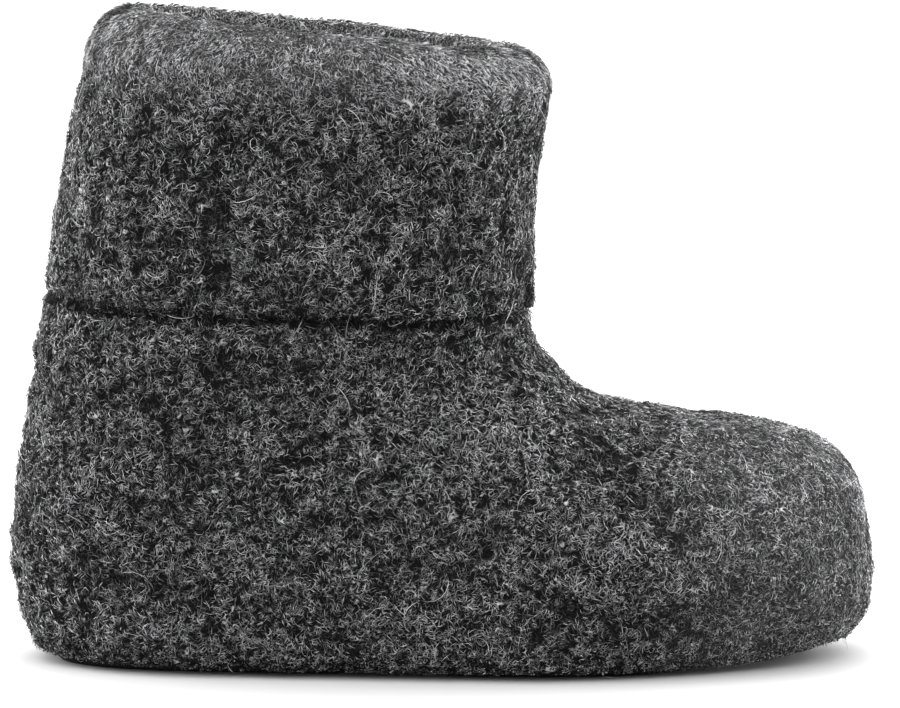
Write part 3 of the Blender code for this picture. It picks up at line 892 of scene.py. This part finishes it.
def fibre_faces(rings):
    """Triangles of one fibre as corner numbers. With rings it is a spindle of point, rings of
    three and point; without, a sliver of four corners: root, left, right and tip."""
    if rings == 0:
        return np.array([(0, 2, 1), (1, 2, 3), (0, 1, 3), (0, 3, 2)])
    last, end = 3 * rings + 1, 3 * rings - 2
    faces = []
    for k in range(3):
        m = (k + 1) % 3
        faces += [(0, 1 + m, 1 + k), (end + k, end + m, last)]
        for a in range(1, end, 3):
            faces += [(a + k, a + m, a + 3 + m), (a + k, a + 3 + m, a + 3 + k)]
    return np.array(faces)


# %% Put fibres into a mesh
PALETTE_WIDTH, SHADE_EDGE, ALONG_EDGE = 0.004, 0.01, 0.02


def put_fibres(name, paths, normals, fleece, thickness, shade, material):
    """All fibres of one kind as one mesh: corners round each path, with the fibre's shade and
    the share along it stored for the finish, and laid out by them on the map."""
    count, stations = paths.shape[0], paths.shape[1] - 2
    ahead = unit(paths[:, 2:] - paths[:, :-2])
    side = unit(np.cross(ahead, normals[:, None]))
    above = np.cross(side, ahead)
    turn = np.array([np.pi, 0.0]) if fleece.rings == 0 else 2 * np.pi * np.arange(3) / 3
    ring = np.cos(turn)[:, None] * side[:, :, None] + np.sin(turn)[:, None] * above[:, :, None]
    body = paths[:, 1:-1, None] + 0.5 * thickness[:, None, None, None] * ring
    points = np.concatenate([paths[:, :1], body.reshape(count, -1, 3), paths[:, -1:]], axis=1)
    each = points.shape[1]
    all_faces = np.arange(count)[:, None, None] * each + fibre_faces(fleece.rings)
    step = np.arange(stations + 2) / (stations + 1)
    along = np.concatenate([step[:1], np.repeat(step[1:-1], len(turn)), step[-1:]])
    offset = np.concatenate([[0.0], np.tile(np.linspace(-1.0, 1.0, len(turn)), stations), [0.0]])
    spot = np.clip(shade, SHADE_EDGE, 1 - SHADE_EDGE)[:, None] + PALETTE_WIDTH * offset
    up_map = ALONG_EDGE + (1 - 2 * ALONG_EDGE) * along
    flat = np.stack([spot, np.broadcast_to(up_map, spot.shape)], -1)
    corners = all_faces.reshape(-1, 3)
    piece = put_piece(
        name,
        points.reshape(-1, 3) + to_frame,
        [corners],
        [flat.reshape(-1, 2)[corners]],
        material,
        {"shade": np.repeat(shade, each), "along": np.tile(along, count)},
    )
    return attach(piece, "root")


# %% [markdown]
# ## The fibres' finish
#
# Charcoal wool is a melange: mostly near-black fibres, some mid grey, a few almost white. Each
# fibre carries one shade from 0 to 1, and a colour ramp turns it into that mix. Towards the root
# a fibre is darker, as less light gets down there.

# %% Melange of fibre colours
MELANGE = ((0.0, 0.010), (0.25, 0.04), (0.50, 0.13), (0.75, 0.28), (0.90, 0.47), (1.0, 0.68))
COOL = 1.02
FIBRE_ROUGHNESS, FIBRE_GLOSS = 0.8, 0.12
ROOT_DARK, ROOT_END = 0.25, 0.7


def melange_finish(name):
    """Fibre colour: the ramp of the shade, times a share that grows from root to tip."""
    material, tree, shader = wool_shader(name, FIBRE_ROUGHNESS, FIBRE_GLOSS)
    shade = add_node(tree, "ShaderNodeAttribute", attribute_name="shade")
    greys = add_node(tree, "ShaderNodeValToRGB")
    ramp = greys.color_ramp
    while len(ramp.elements) < len(MELANGE):
        ramp.elements.new(0.5)
    for element, (place, grey) in zip(ramp.elements, MELANGE):
        element.position = place
        element.color = (grey, grey, COOL * grey, 1.0)
    link(tree, shade, greys.inputs["Fac"], "Fac")
    along = add_node(tree, "ShaderNodeAttribute", attribute_name="along")
    lit = add_node(tree, "ShaderNodeMapRange", {"From Max": ROOT_END, "To Min": ROOT_DARK})
    link(tree, along, lit.inputs["Value"], "Fac")
    full = {MIX_SHARE: 1.0}
    colour = add_node(tree, "ShaderNodeMix", full, data_type="RGBA", blend_type="MULTIPLY")
    link(tree, greys, colour.inputs[MIX_FIRST])
    link(tree, lit, colour.inputs[MIX_SECOND])
    link(tree, colour, shader.inputs["Base Color"], MIX_RESULT)
    return material


melange = melange_finish("melange wool fibres")
print("greys in the melange:", len(MELANGE))

# %% [markdown]
# ## Growing the fleece
#
# Wool stands thick on the tufts and thin in the gaps, where one looks down to dark roots. So
# more roots are planted than needed, and those on tufts stay more often. Neighbours head the
# same way, as a clump does, and on the roll all follow the comb. The nap at the toe and on the
# roll is finer: thinner, more even in shade and a little patchy.

# %% Choose the roots
CANDIDATES, GAP_CHANCE, TUFT_LEVELS = 2, 0.24, (-0.4, 0.5)
Roots = namedtuple("Roots", "places upright depth combed raised")


def chosen_roots(grid, fields, weight, stretch, count, rng):
    """Roots with their fields: each candidate draws a random number to the power 1 / chance,
    with a chance that grows with its height in the tuft, and the highest numbers stay."""
    places, upright, *rest = planted(grid, weight, (grid, *fields), CANDIDATES * count, rng)
    depth, lit, combed = (field[:, 0] for field in rest)
    raised = 1.0 - depth * (1.0 - tufts(places, stretch)) + lit
    chance = GAP_CHANCE + ease(raised, *TUFT_LEVELS)
    keep = np.sort(np.argsort(rng.random(len(chance)) ** (1.0 / chance))[-count:])
    return Roots(places[keep], unit(upright[keep]), depth[keep], combed[keep], raised[keep])


# %% Direction of the fibres
CLUMP_TURN, CLUMP_CELL, CLUMP_SEED = 3 * np.pi, 0.0055, 21
COMB_HEEL, COMB_TOE, COMB_FROM, COMB_TO = -0.75, 0.35, 0.05, 0.6
COMB_CALM = 0.5


def headings(roots, fleece, rng):
    """Angle of each fibre on the surface: its clump's, drawn to the comb's slant where the nap
    is combed, plus a random stray that is smaller there."""
    forward = ease(roots.places[:, 0], COMB_FROM * LENGTH, COMB_TO * LENGTH)
    comb = COMB_HEEL + (COMB_TOE - COMB_HEEL) * forward
    heading = CLUMP_TURN * wool_noise(roots.places, CLUMP_CELL, CLUMP_SEED)
    heading += roots.combed * (comb - heading)
    stray = rng.normal(0.0, fleece.stray, len(heading))
    return heading + stray * (1.0 - COMB_CALM * roots.combed)


# %% Shade of the fibres
MELANGE_SHARE, MELANGE_CELL, MELANGE_SEED = 0.4, 0.012, 22
GAP_SHADE, GAP_LEVELS, GAP_FULL = 0.35, (-0.5, 0.8), 0.8
COMBED_PALE_AND_HIGHLIGHT = 0.29
CREST_SHADE, CREST_FACING = 1.4, (0.5, 0.95)
END_SHADE, END_FACING = 0.7, (0.3, 1.0)
FINE_EVEN, FINE_PALE = 0.85, 0.05
FINE_PATCH, PATCH_CELL, PATCH_SEED = 2.2, 0.0040, 23


def shades(roots, fleece, rng):
    """Shade of each fibre from 0 to 1: a random number, paler by the kind of fibre, by melange
    patches and where the nap is combed, partly a painted highlight, except on the crest and the
    ends of the roll, where painted shade takes it back, and darker in gaps with painted shade.
    Fine nap has a narrower spread and patches of its own."""
    fine = 1.0 - roots.depth
    mixed = MELANGE_SHARE * (wool_noise(roots.places, MELANGE_CELL, MELANGE_SEED) - 0.5)
    # Painted shade: fibres low in the tuft or in fold, nook and hem shade are darker.
    in_gap = GAP_SHADE * (ease(roots.raised, *GAP_LEVELS) - GAP_FULL)
    crest = CREST_SHADE * ease(roots.upright[:, 2], *CREST_FACING)
    ends = END_SHADE * ease(np.abs(roots.upright[:, 0]), *END_FACING)
    # Painted highlight on the combed roll, taken back with painted shade on the crest and ends.
    combed = COMBED_PALE_AND_HIGHLIGHT * roots.combed * (1.0 - (crest + ends))
    patch = FINE_PALE + FINE_PATCH * (wool_noise(roots.places, PATCH_CELL, PATCH_SEED) - 0.5)
    spread = 1.0 - FINE_EVEN * fine
    shade = 0.5 + spread * (rng.random(len(fine)) - 0.5) + fleece.pale
    shade += mixed + in_gap + combed + patch * fine
    return np.clip(shade, 0.0, 1.0)


# %% Grow one kind of fibre
FINE_THIN, FINE_SHORT = 0.95, 0.15
UNDER_SHORT, UNDER_FACING = 0.65, (0.1, 0.6)


def fleece_on(name, grid, fields, weight, stretch, count, fleece, seed, slot):
    """Plant, turn, colour and grow one kind of fibre over one grid. The fields are normals,
    tuft depth, light and comb; fine nap is thinner, and the underside's fibres are shorter."""
    rng = np.random.default_rng(seed)
    roots = chosen_roots(grid, fields, weight, stretch, count, rng)
    heading = headings(roots, fleece, rng)
    shade = shades(roots, fleece, rng)
    fine = 1.0 - roots.depth
    thickness = fleece.thickness * (1.0 - FINE_THIN * fine)
    under = ease(-roots.upright[:, 2], *UNDER_FACING)
    short = 1.0 - FINE_SHORT * fine - UNDER_SHORT * under
    paths = fibre_paths(roots.places, roots.upright, fleece, heading, short, rng)
    piece = put_fibres(name, paths, roots.upright, fleece, thickness, shade, melange)
    return piece


# %% Grow the fleece of the upper
FIBRE_CLEAR = (0.0005, 0.003)

off_sole = ease(ground[..., 2], *FIBRE_CLEAR) * (over_sole < 0.5)
shown = off_sole * (np.arange(len(ground)) <= ROWS_FOOT)[:, None]
loose = np.zeros_like(lump)
upper_fields = (normals_of(ground), flatter[..., None], lit[..., None], loose[..., None])
pile = (ground, upper_fields, shown, FOOT_STRETCH)
fleece_on("upper_nap_1", *pile, 26000, NAP, 31, "wool_pile")
fleece_on("upper_nap_2", *pile, 26000, NAP, 32, "wool_pile")
fleece_on("upper_curls", *pile, 16000, CURLS, 41, "wool_pile")
fleece_on("upper_strays", *pile, 160, STRAYS, 42, "wool_pile")

# %% Grow the fleece of the cuff
FRINGE_LEVELS, FRINGE_COMBED = (0.001, 0.005), 0.6

cuff_fields = (
    normals_of(cuff_ground, closed_rows=True),
    cuff_depth[..., None],
    cuff_lit[..., None],
    combed[..., None],
)
cuff_shown = np.broadcast_to(visible[:, None], cuff_lump.shape)
turned = (cuff_ground, cuff_fields, cuff_shown, CUFF_STRETCH)
fleece_on("cuff_nap", *turned, 30000, NAP, 51, "wool_cuff")
fleece_on("cuff_curls", *turned, 14000, CURLS, 52, "wool_cuff")
fleece_on("cuff_strays", *turned, 120, STRAYS, 53, "wool_cuff")
at_hem = np.zeros(cuff_lump.shape)
at_hem[:ROWS_FACE] = 1.0 - ease(height, *FRINGE_LEVELS)
hanging = (*cuff_fields[:3], np.full_like(combed, FRINGE_COMBED)[..., None])
hem_pile = (cuff_ground, hanging, at_hem, CUFF_STRETCH)
fleece_on("hem_fringe", *hem_pile, 1300, FRINGE, 54, "wool_cuff")

# %% Grow the nap inside
CALM_DEPTH, LINING_LEVELS, TOP_FACING = 0.5, (0.012, 0.020), (0.6, 0.9)


def calm_fields(normals):
    """Fields of an even nap: half-deep tufts, no folds, no comb."""
    flat = np.zeros(normals.shape[:2] + (1,))
    return normals, flat + CALM_DEPTH, flat, flat


lining_open = ease(lining[..., 2], *LINING_LEVELS)
lining_pile = (lining, calm_fields(normals_of(lining)), lining_open, FOOT_STRETCH)
fleece_on("lining_nap", *lining_pile, 8000, NAP, 61, "wool_pile")
footbed_normals = normals_of(footbed_grid)
on_top = ease(footbed_normals[..., 2], *TOP_FACING)
footbed_pile = (footbed_grid, calm_fields(footbed_normals), on_top, FOOT_STRETCH)
fleece_on("footbed_nap", *footbed_pile, 4000, NAP, 62, "wool_footbed")

# %% [markdown]
# ## Stage, light and camera
#
# A pale floor and a studio sky that is bright overhead and dimmer towards the camera light the
# wool as in a product studio: roll and toe are pale, the side is darker, and the shadow on the
# floor is soft. Lamps alone could do it, but a sky that changes with direction is softer. Two
# softboxes behind the ends brighten the outline. The camera stands at the outer side, a little
# above the collar, with a long lens.

# %% Floor
FLOOR_SIZE, FLOOR_Z = 60.0, -0.0002
FLOOR_GREY, FLOOR_ROUGHNESS = 0.46, 0.9

corner = 0.5 * FLOOR_SIZE
corner_signs = ((-1, -1), (1, -1), (1, 1), (-1, 1))
floor_corners = [(sx * corner, sy * corner, FLOOR_Z) for sx, sy in corner_signs]
floor_mesh = bpy.data.meshes.new("floor")
floor_mesh.from_pydata(floor_corners, [], [(0, 1, 2, 3)])
floor = bpy.data.objects.new("floor", floor_mesh)
bpy.context.scene.collection.objects.link(floor)
floor_finish = bpy.data.materials.new("pale floor")
floor_finish.use_nodes = True
floor_shader = floor_finish.node_tree.nodes["Principled BSDF"]
floor_shader.inputs["Base Color"].default_value = (FLOOR_GREY, FLOOR_GREY, FLOOR_GREY, 1.0)
floor_shader.inputs["Roughness"].default_value = FLOOR_ROUGHNESS
floor_mesh.materials.append(floor_finish)
floor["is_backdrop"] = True
print("floor of", FLOOR_SIZE, "m")

# %% Studio sky
SIDE_LIGHT, ZENITH_LIGHT, ZENITH_FULL = 0.85, 4.5, 0.9
FRONT_SHARE, FRONT_FULL, FRONT_END = 0.52, -0.9, 0.1

sky = bpy.data.worlds.new("studio")
sky.use_nodes = True
sky_tree = sky.node_tree
background = sky_tree.nodes["Background"]
background.inputs["Color"].default_value = (1.0, 1.0, 1.0, 1.0)
axes = add_node(sky_tree, "ShaderNodeSeparateXYZ")
link(sky_tree, add_node(sky_tree, "ShaderNodeTexCoord"), axes.inputs[0], "Generated")
overhead = between(sky_tree, axes, 0.0, ZENITH_FULL, SIDE_LIGHT, ZENITH_LIGHT, "Z")
dim_front = between(sky_tree, axes, FRONT_FULL, FRONT_END, FRONT_SHARE, 1.0, "Y")
link(sky_tree, math_node(sky_tree, "MULTIPLY", overhead, dim_front), background.inputs["Strength"])
bpy.context.scene.world = sky
bpy.context.scene.view_settings.view_transform = "Standard"
print("sky from", SIDE_LIGHT, "at the sides to", ZENITH_LIGHT, "overhead")

# %% Softboxes
LAMP_PLACE, LAMP_TARGET = (1.2, 0.35, 0.35), (0.0, 0.0, 0.1)
LAMP_SIZE, LAMP_POWER = 0.6, 15.0


def aimed(name, data, place, target):
    """A lamp or camera at a place, turned so that its -Z axis points at the target."""
    made = bpy.data.objects.new(name, data)
    made.location = place
    made.rotation_euler = (Vector(target) - Vector(place)).to_track_quat("-Z", "Y").to_euler()
    bpy.context.scene.collection.objects.link(made)
    return made


for name, side in (("left softbox", -1.0), ("right softbox", 1.0)):
    lamp = bpy.data.lights.new(name, "AREA")
    lamp.size = LAMP_SIZE
    lamp.energy = LAMP_POWER
    aimed(name, lamp, (side * LAMP_PLACE[0], *LAMP_PLACE[1:]), LAMP_TARGET)
print("softboxes of", LAMP_POWER, "W at both ends")

# %% Camera
CAMERA_PLACE, CAMERA_TARGET = (0.0023, -1.6, 0.30), (0.0023, 0.0, 0.101)
FOCAL_PIXELS, IMAGE_WIDTH, SENSOR_WIDTH = 4850.0, 900.0, 36.0

lens = bpy.data.cameras.new("camera")
lens.sensor_width = SENSOR_WIDTH
lens.lens = lens.sensor_width * FOCAL_PIXELS / IMAGE_WIDTH
bpy.context.scene.camera = aimed("camera", lens, CAMERA_PLACE, CAMERA_TARGET)
print("lens in mm:", round(lens.lens, 1))

# %% Count the triangles
print("triangles in all:", sum(triangle_counts), "most in one piece:", max(triangle_counts))
